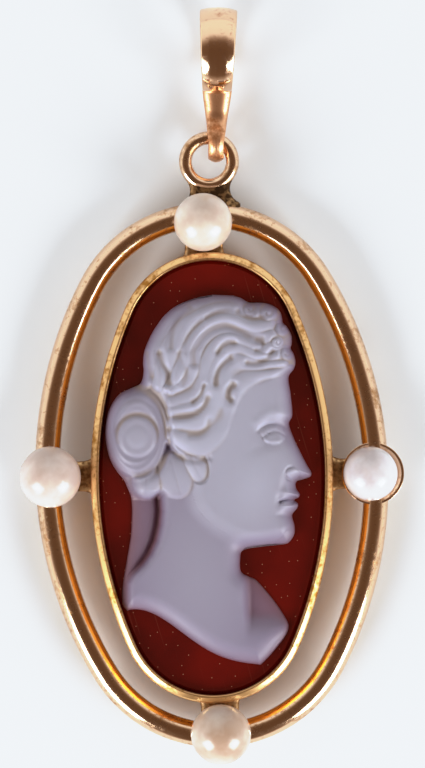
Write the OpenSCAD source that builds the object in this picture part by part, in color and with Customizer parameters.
// Cameo pendant lying on its back: X to the right, Y towards the bail, Z out of the carved face.
// A four-arc oval hoop and bezel of gold, a two-layer carved stone, four half-drilled pearls and a bail.

/* [Hoop] */
// Half width of the hoop, to the middle of its wire
hoop_half_w = 8.2; // [7.9:0.05:9]
// Half height of the hoop, to the middle of its wire
hoop_half_h = 13; // [12.7:0.05:14]
// Radius of the hoop's top and bottom bends, to the middle of its wire
hoop_end_r = 6.5; // [5.8:0.1:7.2]
// Thickness of the hoop's round wire
hoop_wire = 1.25; // [1:0.05:1.5]
// Height of the middle of the hoop's wire above the surface it lies on
hoop_z = 1.2; // [1.2:0.05:1.6]

/* [Bezel] */
// Half width of the bezel, outside
bezel_half_w = 6.05; // [5.6:0.05:6.3]
// Half height of the bezel, outside
bezel_half_h = 11.25; // [10.8:0.05:11.4]
// Radius of the bezel's top and bottom bends, outside
bezel_end_r = 4.65; // [4:0.05:5]
// Height of the bezel's front rim above the surface
bezel_h = 2.9; // [2.6:0.05:3.1]
// Thickness of the bezel's wall
bezel_wall = 0.36; // [0.25:0.01:0.5]
// How far the rim is rubbed over the stone's edge
bezel_lip = 0.12; // [0.06:0.01:0.2]
// Width of the ledge that carries the stone
ledge_w = 0.55; // [0.3:0.05:0.9]
// Thickness of the ledge
ledge_t = 0.35; // [0.2:0.05:0.6]
// Degrees that the bezel and stone are turned clockwise in the hoop
bezel_turn = 1.4; // [0:0.1:3]
// How far the bezel sits below the middle of the hoop
bezel_drop = 0.12; // [0:0.02:0.2]

/* [Struts] */
// Width of the struts behind the side pearls
side_strut_w = 1.5; // [0.8:0.1:2]
// Width of the struts behind the top and bottom pearls
end_strut_w = 1.9; // [0.8:0.1:2.2]
// Thickness of the struts, front to back
strut_t = 0.8; // [0.4:0.05:1]

/* [Pearls and cups] */
// Diameter of the top pearl
pearl_top_d = 2.9; // [2.5:0.05:3.2]
// Diameter of the bottom pearl
pearl_bottom_d = 3; // [2.5:0.05:3.2]
// Diameter of the left pearl
pearl_left_d = 3.05; // [2.5:0.05:3.2]
// Diameter of the right pearl
pearl_right_d = 2.7; // [2.5:0.05:3.2]
// Outside diameter of the right cup, which is wider than its pearl
cup_right_d = 3.15; // [2.9:0.05:3.3]
// Depth of the cups
cup_depth = 0.45; // [0.3:0.05:0.5]
// Wall of the cups
cup_wall = 0.25; // [0.15:0.05:0.35]
// Height of the cups' hollow above the middle of the hoop's wire
cup_rise = 0.1; // [0:0.05:0.3]
// How far the side cups sit inside the middle of the hoop's wire
side_inset = 0.15; // [0:0.05:0.4]
// How far the right pearl sits off its cup's middle, towards the bezel
right_pearl_off = 0.14; // [0:0.02:0.16]
// Diameter of the pegs that carry the pearls
peg_d = 0.6; // [0.4:0.05:0.9]
// Length of the pegs above the cups
peg_h = 1.3; // [0.8:0.1:1.8]
// Gap left between a pearl and the gold beside it
pearl_gap = 0.04; // [0.02:0.01:0.1]

/* [Stone] */
// Thickness of the dark lower layer
ground_t = 2.15; // [1.8:0.05:2.25]
// Width of the bevel round the stone's front edge
stone_bevel = 0.2; // [0.1:0.05:0.3]
// Gap between the stone and its bezel
stone_gap = 0.02; // [0.01:0.01:0.05]
// Greatest height of the carved light layer
relief_h = 1.3; // [0.8:0.05:1.6]
// Share of the stone's height that the carved figure takes
figure_fill = 0.85; // [0.7:0.01:0.86]

/* [Eye ring] */
// Outside diameter of the ring that carries the bail
eye_d = 3; // [2.9:0.05:3.3]
// Thickness of the ring's round wire
eye_wire = 0.65; // [0.55:0.01:0.66]
// How far the ring is soldered to the right of the hoop's middle
eye_shift = 0.4; // [-0.5:0.05:0.5]
// Width of the solder neck at its narrowest
neck_w = 2; // [1.4:0.1:2.4]
// Length of the solder neck between the hoop and the ring
neck_len = 0.55; // [0.35:0.05:0.8]
// Radius of the neck's hollow sides
neck_r = 0.75; // [0.5:0.05:1]

/* [Bail] */
// Outside diameter of the loop that takes the chain
bail_loop_d = 4.36; // [4:0.02:5]
// Wall of the chain loop at its crown
bail_wall = 0.42; // [0.3:0.02:0.5]
// Width of the bail at the top of the chain loop
bail_top_w = 1.9; // [1.6:0.05:2.4]
// Width of the bail where the chain loop ends
bail_waist_w = 1.45; // [1.2:0.05:1.6]
// Width of the bail at its foot
bail_foot_w = 0.8; // [0.5:0.05:0.82]
// How much the bail's rounded face drops towards its edges
bail_crown = 0.16; // [0.05:0.01:0.2]
// Thickness of the bail's waist, front to back
bail_waist_t = 0.75; // [0.6:0.05:0.9]
// Distance from the ring's wire to the middle of the chain loop
bail_len = 4.58; // [4.2:0.02:5]
// Inside diameter of the foot loop round the ring's wire
foot_id = 1.48; // [1.46:0.02:1.6]
// Wall of the foot loop
foot_wall = 0.34; // [0.25:0.01:0.36]
// How far the bail sits to the right of the ring's middle
bail_shift = 0.4; // [-0.4:0.02:0.4]
// Degrees that the bail leans to the right
bail_lean = 3; // [0:0.5:5]

/* [Hidden] */
$fn = 72;
GOLD = "#d8a25c";
DARK_STONE = "#5a1512";
LIGHT_STONE = "#c9c4d2";
PEARL = "#e6d8cc";

// Overlap of an oval's arcs, in degrees, and how much fuller the end arcs are, in mm
LAP_ANGLE = 0.6;
LAP_FULL = 0.01;

// A cup's hollow is part of a ball: radius of the ball that fits a pearl, or that gives a cup's width
function ball_of(pearl_d) = pearl_d / 2 + pearl_gap;
function ball_for(d) = (pow(d / 2 - cup_wall, 2) + pow(cup_depth, 2)) / (2 * cup_depth);

// Seats of the pearls: [x, y, diameter, radius inside the cup, pearl's offset from the cup's middle]
TOP = [0, bezel_half_h - bezel_drop + pearl_gap + pearl_top_d / 2, pearl_top_d, ball_of(pearl_top_d), 0];
BOTTOM = [0, -bezel_half_h - bezel_drop - pearl_gap - pearl_bottom_d / 2, pearl_bottom_d,
    ball_of(pearl_bottom_d), 0];
LEFT = [-(hoop_half_w - side_inset), 0, pearl_left_d, ball_of(pearl_left_d), 0];
RIGHT = [hoop_half_w - side_inset, 0, pearl_right_d, max(ball_of(pearl_right_d), ball_for(cup_right_d)),
    -right_pearl_off];
SEATS = [TOP, BOTTOM, LEFT, RIGHT];
cup_z = hoop_z + cup_rise;

// Stone: it lies on the ledge, inside the wall
stone_half_w = bezel_half_w - bezel_wall - stone_gap;
stone_half_h = bezel_half_h - bezel_wall - stone_gap;
stone_end_r = bezel_end_r - bezel_wall - stone_gap;
ground_z = ledge_t + ground_t;

// Carved figure: one hundredth of its height
figure_u = figure_fill / 50 * min(stone_half_h, 1.93 * stone_half_w);

// Eye ring and bail
eye_y = hoop_half_h + hoop_wire / 2 + neck_len + eye_d / 2;
eye_mid_r = (eye_d - eye_wire) / 2;
// The foot spans part of the ring's wire; the hinge lies half way between the wire's heights under its two edges
function wire_y(x) = sqrt(pow(eye_mid_r, 2) - pow(x, 2));
hinge = [eye_shift + bail_shift,
    eye_y + (wire_y(bail_shift - bail_foot_w / 2) + wire_y(bail_shift + bail_foot_w / 2)) / 2, hoop_z];
foot_r = foot_id / 2 + foot_wall;
bail_rise = asin((bail_loop_d / 2 - hoop_z) / bail_len);

// The origin is under the middle of the whole pendant's box
top_y = hinge[1] + bail_len * cos(bail_rise) * cos(bail_lean) + bail_loop_d / 2;
bottom_y = BOTTOM[1] - seat_reach(BOTTOM);
left_x = LEFT[0] - seat_reach(LEFT);
right_x = RIGHT[0] + seat_reach(RIGHT);
middle = [(left_x + right_x) / 2, (top_y + bottom_y) / 2, 0];

// Half the width of a cup at its rim, and half the width of cup and pearl together
function rim_r(seat) = sqrt(2 * seat[3] * cup_depth - pow(cup_depth, 2)) + cup_wall;
function seat_reach(seat) = max(rim_r(seat), seat[2] / 2);

// Radius of an oval's side arcs, where half width a, half height b and end radius r are given
function side_r(a, b, r) = (a * a + (b - r) * (b - r) - r * r) / (2 * (a - r));

// Angle at which the side arc meets the end arc
function joint_angle(a, b, r) = atan2(b - r, side_r(a, b, r) - a);

// Points of such an oval, n to each of its four arcs
function oval_points(a, b, r, n) =
    let (t = joint_angle(a, b, r), big = side_r(a, b, r))
    let (side = [for (i = [0 : n - 1]) let (g = t * (2 * i / n - 1)) [a - big + big * cos(g), big * sin(g)]])
    let (end = [for (i = [0 : n - 1]) let (g = t + (180 - 2 * t) * i / n) [r * cos(g), b - r + r * sin(g)]])
    concat(side, end, -side, -end);

// Carries a profile round an oval: its x is measured outwards from the oval, its y is the height.
// The end arcs reach a little past the joints and are fuller there by $full, so that the arcs overlap.
module oval_sweep(a, b, r) {
    t = joint_angle(a, b, r);
    big = side_r(a, b, r);
    for (half = [0, 180])
        rotate(half) {
            translate([0, b - r, 0])
                rotate_extrude(angle = 180 - 2 * t + 2 * LAP_ANGLE, start = t - LAP_ANGLE)
                    translate([r, 0]) let ($full = LAP_FULL) children();
            translate([a - big, 0, 0])
                rotate_extrude(angle = 2 * t, start = -t)
                    translate([big, 0]) let ($full = 0) children();
        }
}

// The bezel and what it holds are turned and sit a little low in the hoop
module in_bezel() {
    translate([0, -bezel_drop, 0]) rotate(-bezel_turn) children();
}

// Stands its children at a pearl's seat; the bezel's turn carries the side seats with it
module at_seat(seat) {
    rotate(seat[1] == 0 ? -bezel_turn : 0)
        translate([seat[0], seat[1], cup_z]) children();
}

// Bearing, wall and rubbed-over rim of the bezel, from its outer face inwards
module bezel_profile() {
    rim = bezel_h - ground_z;
    inner = -bezel_wall - $full;
    polygon([
        [inner - ledge_w, 0],
        [$full, 0],
        [$full, ground_z - stone_bevel],
        [$full - bezel_lip, bezel_h - bezel_lip / 2],
        [$full - bezel_lip - bezel_wall / 4, bezel_h + $full],
        [inner - bezel_lip / 4, bezel_h + $full],
        [inner - bezel_lip, bezel_h - rim / 3],
        [inner - bezel_lip, ground_z],
        [inner, ground_z - stone_bevel],
        [inner, ledge_t],
        [inner - ledge_w, ledge_t]]);
}

module bezel() {
    in_bezel() oval_sweep(bezel_half_w, bezel_half_h, bezel_end_r) bezel_profile();
}

module hoop() {
    translate([0, 0, hoop_z])
        oval_sweep(hoop_half_w, hoop_half_h, hoop_end_r) circle(hoop_wire / 2 + $full);
}

// A flat bar from the bezel's wall to the middle of the hoop's wire
module side_strut(seat) {
    inner = bezel_half_w - bezel_wall / 2;
    rotate(-bezel_turn)
        translate([sign(seat[0]) * (inner + hoop_half_w) / 2, 0, hoop_z])
            cube([hoop_half_w - inner, side_strut_w, strut_t], center = true);
}

module end_strut(seat) {
    inner = bezel_half_h - bezel_wall / 2;
    translate([0, sign(seat[1]) * (inner + hoop_half_h) / 2, hoop_z])
        cube([end_strut_w, hoop_half_h - inner, strut_t], center = true);
}

// A cup is a shallow dish on the wire: its flared body, and the hollow that the pearl sits in.
// The hollow's lowest point is at height 0.
module cup_body(seat) {
    rotate_extrude()
        polygon([[0, -cup_wall], [rim_r(seat) / 2, -cup_wall], [rim_r(seat), cup_depth], [0, cup_depth]]);
}

module cup_hollow(seat) {
    translate([0, 0, seat[3]]) sphere(seat[3]);
}

// Peg that the pearl is glued to, rooted in the cup's wall
module peg(seat) {
    translate([seat[4], 0, -cup_wall / 2]) cylinder(d = peg_d, h = cup_wall / 2 + peg_h);
}

module eye_ring() {
    translate([eye_shift, eye_y, hoop_z])
        rotate_extrude() translate([eye_mid_r, 0]) circle(d = eye_wire);
}

// Solder neck with hollow sides between the hoop's wire and the ring
module eye_neck() {
    foot_y = hoop_half_h;
    head_y = eye_y - eye_d / 2 + 0.8 * eye_wire;
    waist_y = eye_y - eye_d / 2 + neck_len / 6;
    half = neck_w / 2 + 0.9 * neck_r;
    translate([eye_shift, 0, hoop_z - 0.45 * eye_wire])
        linear_extrude(0.9 * eye_wire) difference() {
            translate([-half, foot_y]) square([2 * half, head_y - foot_y]);
            for (side = [-1, 1])
                translate([side * (neck_w / 2 + neck_r), waist_y]) circle(neck_r);
        }
}

module setting() {
    color(GOLD) {
        bezel();
        difference() {
            union() {
                hoop();
                side_strut(LEFT);
                side_strut(RIGHT);
                end_strut(TOP);
                end_strut(BOTTOM);
                eye_neck();
                eye_ring();
                for (seat = SEATS) at_seat(seat) cup_body(seat);
            }
            for (seat = SEATS) at_seat(seat) cup_hollow(seat);
        }
        for (seat = SEATS) at_seat(seat) peg(seat);
    }
}

// A half-drilled pearl on its peg
module pearl(seat) {
    color(PEARL) at_seat(seat)
        translate([seat[4], 0, pearl_gap]) difference() {
            translate([0, 0, seat[2] / 2]) sphere(d = seat[2]);
            translate([0, 0, -pearl_gap]) cylinder(d = peg_d + 2 * pearl_gap, h = peg_h + 2 * pearl_gap);
        }
}

// Dark layer: an oval slab whose front edge is bevelled under the rim
module cameo_ground() {
    band = stone_end_r / 2;
    color(DARK_STONE) in_bezel() translate([0, 0, ledge_t]) {
        oval_sweep(stone_half_w, stone_half_h, stone_end_r)
            polygon([[-band, 0], [$full, 0], [$full, ground_t - stone_bevel - stone_gap],
                [$full - stone_bevel - stone_gap, ground_t], [-band, ground_t]]);
        linear_extrude(ground_t)
            polygon(oval_points(stone_half_w - band / 2, stone_half_h - band / 2, stone_end_r - band / 2, 12));
    }
}

// Outline of the carved figure, in hundredths of its height, measured from the stone's middle.
// The head looks to the right. Back edge: [section, x, y], from the crown down to the bust's corner.
BACK = [
    [0, 0.8, 49.4], [1, -4.5, 48.3], [2, -9.2, 46.4], [3, -12.4, 43.9], [4, -14.9, 40.6],
    [5, -16.4, 38], [7, -17.9, 34.3], [9, -18.3, 31.2], [11, -18.2, 28.6], [13, -19.1, 25.6],
    [14, -21.5, 24.4], [15, -24.6, 22.9], [16, -26.9, 20.1], [17, -28.2, 16.7], [18, -28.7, 12.8],
    [19, -28.4, 9], [20.5, -27.4, 5.1], [22, -25.6, 1.9], [23.5, -23.8, -0.4], [25, -22.9, -2.4],
    [27, -22, -4.8], [30, -21.7, -8], [33, -21.8, -11.5], [36, -22, -14.9], [39, -22.4, -17.5],
    [42, -23.3, -22.5], [44, -24, -26.3], [46, -24.5, -29.8], [48, -24.6, -33], [49, -24.2, -34.6],
    [50, -23.2, -35.7]];

// A plain face in profile: out and down from the hairline, in thirds of the face
FACE = [
    [-0.02, 0.36], [0.01, 0.62], [0.035, 0.95], [-0.02, 1.1], [0.05, 1.32], [0.155, 1.55],
    [0.255, 1.75], [0.325, 1.875], [0.31, 1.945], [0.2, 1.985], [0.09, 2.02], [0.08, 2.12],
    [0.135, 2.22], [0.12, 2.275], [0.05, 2.315], [0.105, 2.37], [0.1, 2.44], [0.015, 2.56],
    [0.05, 2.72], [0.045, 2.86], [-0.03, 2.98], [-0.13, 3.02]];
face_third = 16.9;
face_x = 21.3;
face_y = 32.9;

// Front edge: hair, face, throat, far shoulder and cut edge, one point for each section
FRONT = concat(
    [[6, 49.1], [8.3, 48.4], [10.3, 47.2], [12.7, 47.1], [14.9, 46.9], [17, 46.2], [18.8, 44.7],
        [19.4, 42.8], [19.6, 41.6], [20.7, 40.5], [21.9, 38.1], [21.9, 35.8], [21.6, 34.7],
        [22.4, 33.2], [22.9, 31], [22.4, 29.1]],
    [for (f = FACE) [face_x + f[0] * face_third, face_y - f[1] * face_third]],
    [[13.5, -18.7], [8.3, -19.6], [7.4, -22], [7.6, -25.4], [9.7, -26.8], [11.9, -28],
        [16.3, -33.2], [19.4, -37.9], [20.3, -40.3], [19.3, -43], [15.8, -47.4], [14, -49.3],
        [12.6, -50.6]]);
sections = len(FRONT) - 1;
FRONT_KEYED = [for (i = [0 : sections]) [i, FRONT[i][0], FRONT[i][1]]];

// Lower edge of the hair, edge of the jaw, gap behind the neck: [x, y] or [-y, x]
HAIRLINE = [[-18, -3.5], [-12, -5], [-8, -4.8], [-5.5, -3], [-4, 0], [-1, 3], [0.4, 6], [3.1, 9.6],
    [4.8, 13.1], [5.9, 17.2], [8.1, 21.7], [14.1, 25.7], [21.4, 28.3], [24, 29.5]];
JAW = [[-5.5, -3], [-4, -8], [0, -12.5], [5, -15.5], [10, -17.4], [20, -19]];
GAP = [[5, -14.2], [8.7, -13.9], [12.6, -14.3], [16.7, -15.3], [20.2, -16.9], [23.4, -19.2],
    [26, -21.5], [28.3, -22.7]];
BUN = [-20.2, 12.2];
BUN_SIZE = [8.1, 12.1];
HAIR_LOCKS = 11;
RELIEF_ROWS = 100;
RELIEF_COLUMNS = 28;

// Reach of the rounded edge, sections between which the hem's sway grows, and how far it sways
edge_round = 5;
HEM = 41;
HEM_END = 48;
hem_sway = 2.1;

function clip(t) = min(max(t, 0), 1);
function soft(t) = clip(t) * clip(t) * (3 - 2 * clip(t));
function mix(a, b, t) = a + (b - a) * t;

// Smooth curve through keyed rows [key, x, y]
function keyed(rows, v) =
    let (last = len(rows) - 1)
    let (i = min(floor(lookup(v, [for (k = [0 : last]) [rows[k][0], k]])), last - 1))
    let (a = rows[max(i - 1, 0)], b = rows[i], c = rows[i + 1], d = rows[min(i + 2, last)])
    let (span = c[0] - b[0], t = (v - b[0]) / span)
    let (mb = (c - a) * span / (c[0] - a[0]), mc = (d - b) * span / (d[0] - b[0]))
    let (p = (2 * pow(t, 3) - 3 * t * t + 1) * b + (pow(t, 3) - 2 * t * t + t) * mb
        + (3 * t * t - 2 * pow(t, 3)) * c + (pow(t, 3) - t * t) * mc)
    [p[1], p[2]];

// Point of the figure on section v, at share w of the way from the back edge to the front edge
function figure_point(v, w) =
    let (sway = hem_sway * soft((v - HEM) / (HEM_END - HEM)))
    mix(keyed(BACK, v), keyed(FRONT_KEYED, v), w) + [0, sway * sin(360 * pow(w, 0.8))];

// Rounded forms: a dome over an oval, and a soft swelling
function dome(p, c, r) = sqrt(max(0, 1 - pow((p[0] - c[0]) / r[0], 2) - pow((p[1] - c[1]) / r[1], 2)));
function swell(p, c, r) = exp(-pow((p[0] - c[0]) / r[0], 2) - pow((p[1] - c[1]) / r[1], 2));

// Wavy locks that fan out from the bun towards the forehead
function lock_wave(p) =
    let (out = norm(p - BUN), turn = atan2(p[1] - BUN[1], p[0] - BUN[0]))
    abs(cos(HAIR_LOCKS * (turn + 5 * sin(out * 20))));

function skin_form(p) =
    let (neck = 0.5 + 0.16 * dome(p, [-4, -22], [15, 30]))
    let (head = 0.64 + 0.24 * dome(p, [2, 14], [27, 38]))
    let (features = 0.06 * swell(p, [11, -3], [6, 7]) - 0.12 * swell(p, [17, 12], [3.2, 3])
        + 0.07 * swell(p, [17, 11.6], [1.8, 1.2]) + 0.05 * swell(p, [18.5, 16.4], [3.5, 1.2])
        + 0.06 * swell(p, [21.6, 1], [1.6, 1.3]) - 0.06 * swell(p, [19.6, -6.2], [2, 0.7])
        - 0.05 * swell(p, [21, -10.4], [2.4, 1.2]))
    mix(neck, head + features, soft((p[1] - lookup(p[0], JAW)) / 4 + 0.5));

function bust_form(p) =
    let (far = soft((p[0] - 9) / 1.6) * soft((-25 - p[1]) / 2))
    let (near = soft((-36 - p[1]) / 9))
    mix(skin_form(p), 0.22 + 0.3 * near, far * (1 - near * 0.8))
        - 0.12 * swell(p, [8.6, -31], [0.9, 7]);

function lock_form(p) =
    let (gap_x = lookup(-p[1], GAP), behind = soft((-3 - p[1]) / 3) * soft((gap_x - p[0]) / 2.4 + 0.5))
    mix(bust_form(p), 0.24, behind) - 0.3 * exp(-pow((p[0] - gap_x) / 1.4, 2))
        * soft((-3 - p[1]) / 2) * soft((p[1] + 28) / 6);

function hair_form(p) =
    let (on = soft((p[1] - lookup(p[0], HAIRLINE)) / 3 + 0.5))
    mix(lock_form(p), skin_form(p) + 0.08 + 0.1 * lock_wave(p), on);

function whole_form(p) =
    let (e = norm([(p[0] - BUN[0]) / BUN_SIZE[0], (p[1] - BUN[1]) / BUN_SIZE[1]]))
    let (coil = 0.62 + 0.16 * sqrt(max(0, 1 - e * e)) - 0.08 * exp(-pow((e - 0.62) / 0.1, 2)))
    mix(hair_form(p) * (1 - 0.35 * exp(-pow((e - 1.07) / 0.07, 2))), coil, soft((1.02 - e) / 0.08));

// Light layer: a grid of heights over the figure, closed by a flat underside.
// The underside needs inner points only where the hem's sway bends the rows.
// The cells' diagonals run towards the corners, so that no corner triangle lies in the underside.
module cameo_relief() {
    rows = RELIEF_ROWS;
    cols = RELIEF_COLUMNS;
    bent = floor(rows * HEM / sections);
    grid = [for (i = [0 : rows]) [for (j = [0 : cols])
        let (s = j / cols)
        figure_point(sections * i / rows, 0.65 * s + 0.175 * (1 - cos(180 * s)))]];
    tops = [for (i = [0 : rows], j = [0 : cols])
        let (p = grid[i][j], rim = i == 0 || i == rows || j == 0 || j == cols)
        let (sides = [for (k = [max(0, i - 12) : min(rows, i + 12)])
            min(norm(p - grid[k][0]), norm(p - grid[k][cols]))])
        let (ends = i < 10 ? [for (q = grid[0]) norm(p - q)]
            : i > bent - 5 ? [for (q = grid[rows]) norm(p - q)] : [])
        let (e = clip(min(concat(sides, ends)) / edge_round))
        [p[0], p[1], rim ? 0 : relief_h / figure_u * sqrt(1 - pow(1 - e, 2)) * whole_form(p)]];
    unders = [for (i = [bent : rows - 1], j = [1 : cols - 1]) [grid[i][j][0], grid[i][j][1], 0]];
    at = function (i, j) i * (cols + 1) + j;
    under = function (i, j) j == 0 || j == cols || i == rows ? at(i, j)
        : len(tops) + (i - bent) * (cols - 1) + j - 1;
    faces = concat(
        [for (j = [0 : cols - 1]) [at(0, j), at(1, 0), at(0, j + 1)]],
        [[at(0, cols), at(1, 0), at(1, cols)]],
        [for (i = [1 : bent - 2])
            each [[at(i, 0), at(i + 1, cols), at(i, cols)], [at(i, 0), at(i + 1, 0), at(i + 1, cols)]]],
        [[at(bent - 1, 0), at(bent, cols), at(bent - 1, cols)]],
        [for (j = [0 : cols - 1]) [at(bent - 1, 0), under(bent, j), under(bent, j + 1)]],
        [for (i = [bent : rows - 1], j = [0 : cols - 1])
            each [[under(i, j), under(i + 1, j + 1), under(i, j + 1)],
                [under(i, j), under(i + 1, j), under(i + 1, j + 1)]]],
        [for (i = [0 : rows - 1], j = [0 : cols - 1])
            let (a = at(i, j), b = at(i, j + 1), c = at(i + 1, j + 1), d = at(i + 1, j))
            each (i < rows / 2) == (j < cols / 2) ? [[a, b, c], [a, c, d]] : [[a, b, d], [b, c, d]]]);
    color(LIGHT_STONE) in_bezel() translate([0, 0, ground_z])
        polyhedron([for (p = concat(tops, unders)) p * figure_u], faces, convexity = 8);
}

// Wall of a round loop whose outer face is crowned, about the X axis
module crowned_loop(inner_r, wall, width) {
    crown_r = (pow(width / 2, 2) + pow(bail_crown, 2)) / (2 * bail_crown);
    rotate([0, 90, 0]) rotate_extrude() intersection() {
        translate([inner_r, -width / 2]) square([wall, width]);
        translate([inner_r + wall - crown_r, 0]) circle(crown_r);
    }
}

// Side view of the bail's waist: a kite whose edges are hollowed to meet both loops
module bail_waist() {
    big = bail_loop_d / 2;
    half = bail_waist_t / 2;
    lead = (pow(bail_len, 2) + pow(foot_r, 2) - pow(big, 2)) / (2 * bail_len);
    slope = (foot_r - big) / bail_len;
    part = foot_r - lead * slope - half;
    hollow_r = (part - sqrt(pow(part, 2) + pow(slope, 2) * (pow(foot_r, 2) - pow(lead, 2) - pow(half, 2))))
        / pow(slope, 2);
    knee = [lead + slope * hollow_r, half + hollow_r];
    rotate([90, 0, 90]) linear_extrude(bail_waist_w, center = true) difference() {
        polygon([[0, 0], knee, [bail_len, 0], [knee[0], -knee[1]]]);
        for (side = [-1, 1]) translate([knee[0], side * knee[1]]) circle(hollow_r);
    }
}

// Front view of the bail, tapering from the top of the chain loop to the foot
module bail_taper() {
    top = bail_len + bail_loop_d / 2;
    waist = bail_len - bail_loop_d / 2;
    half = [bail_top_w / 2, bail_waist_w / 2, bail_foot_w / 2];
    translate([0, 0, -bail_loop_d]) linear_extrude(2 * bail_loop_d)
        polygon([[half[0], top], [half[1], waist], [half[2], -foot_r],
            [-half[2], -foot_r], [-half[1], waist], [-half[0], top]]);
}

module bail() {
    color(GOLD) translate(hinge) rotate(-bail_lean) rotate([bail_rise, 0, 0]) intersection() {
        difference() {
            union() {
                translate([0, bail_len, 0]) crowned_loop(bail_loop_d / 2 - bail_wall, bail_wall, bail_top_w);
                crowned_loop(foot_id / 2, foot_wall, bail_waist_w);
                bail_waist();
            }
            translate([0, bail_len, 0]) rotate([0, 90, 0])
                cylinder(r = bail_loop_d / 2 - bail_wall, h = 2 * bail_top_w, center = true);
            rotate([0, 90, 0]) cylinder(d = foot_id, h = 2 * bail_top_w, center = true);
        }
        bail_taper();
    }
}

translate(-middle) setting();
translate(-middle) cameo_ground();
translate(-middle) cameo_relief();
translate(-middle) pearl(TOP);  // pearl_top
translate(-middle) pearl(LEFT);  // pearl_left
translate(-middle) pearl(RIGHT);  // pearl_right
translate(-middle) pearl(BOTTOM);  // pearl_bottom
translate(-middle) bail();
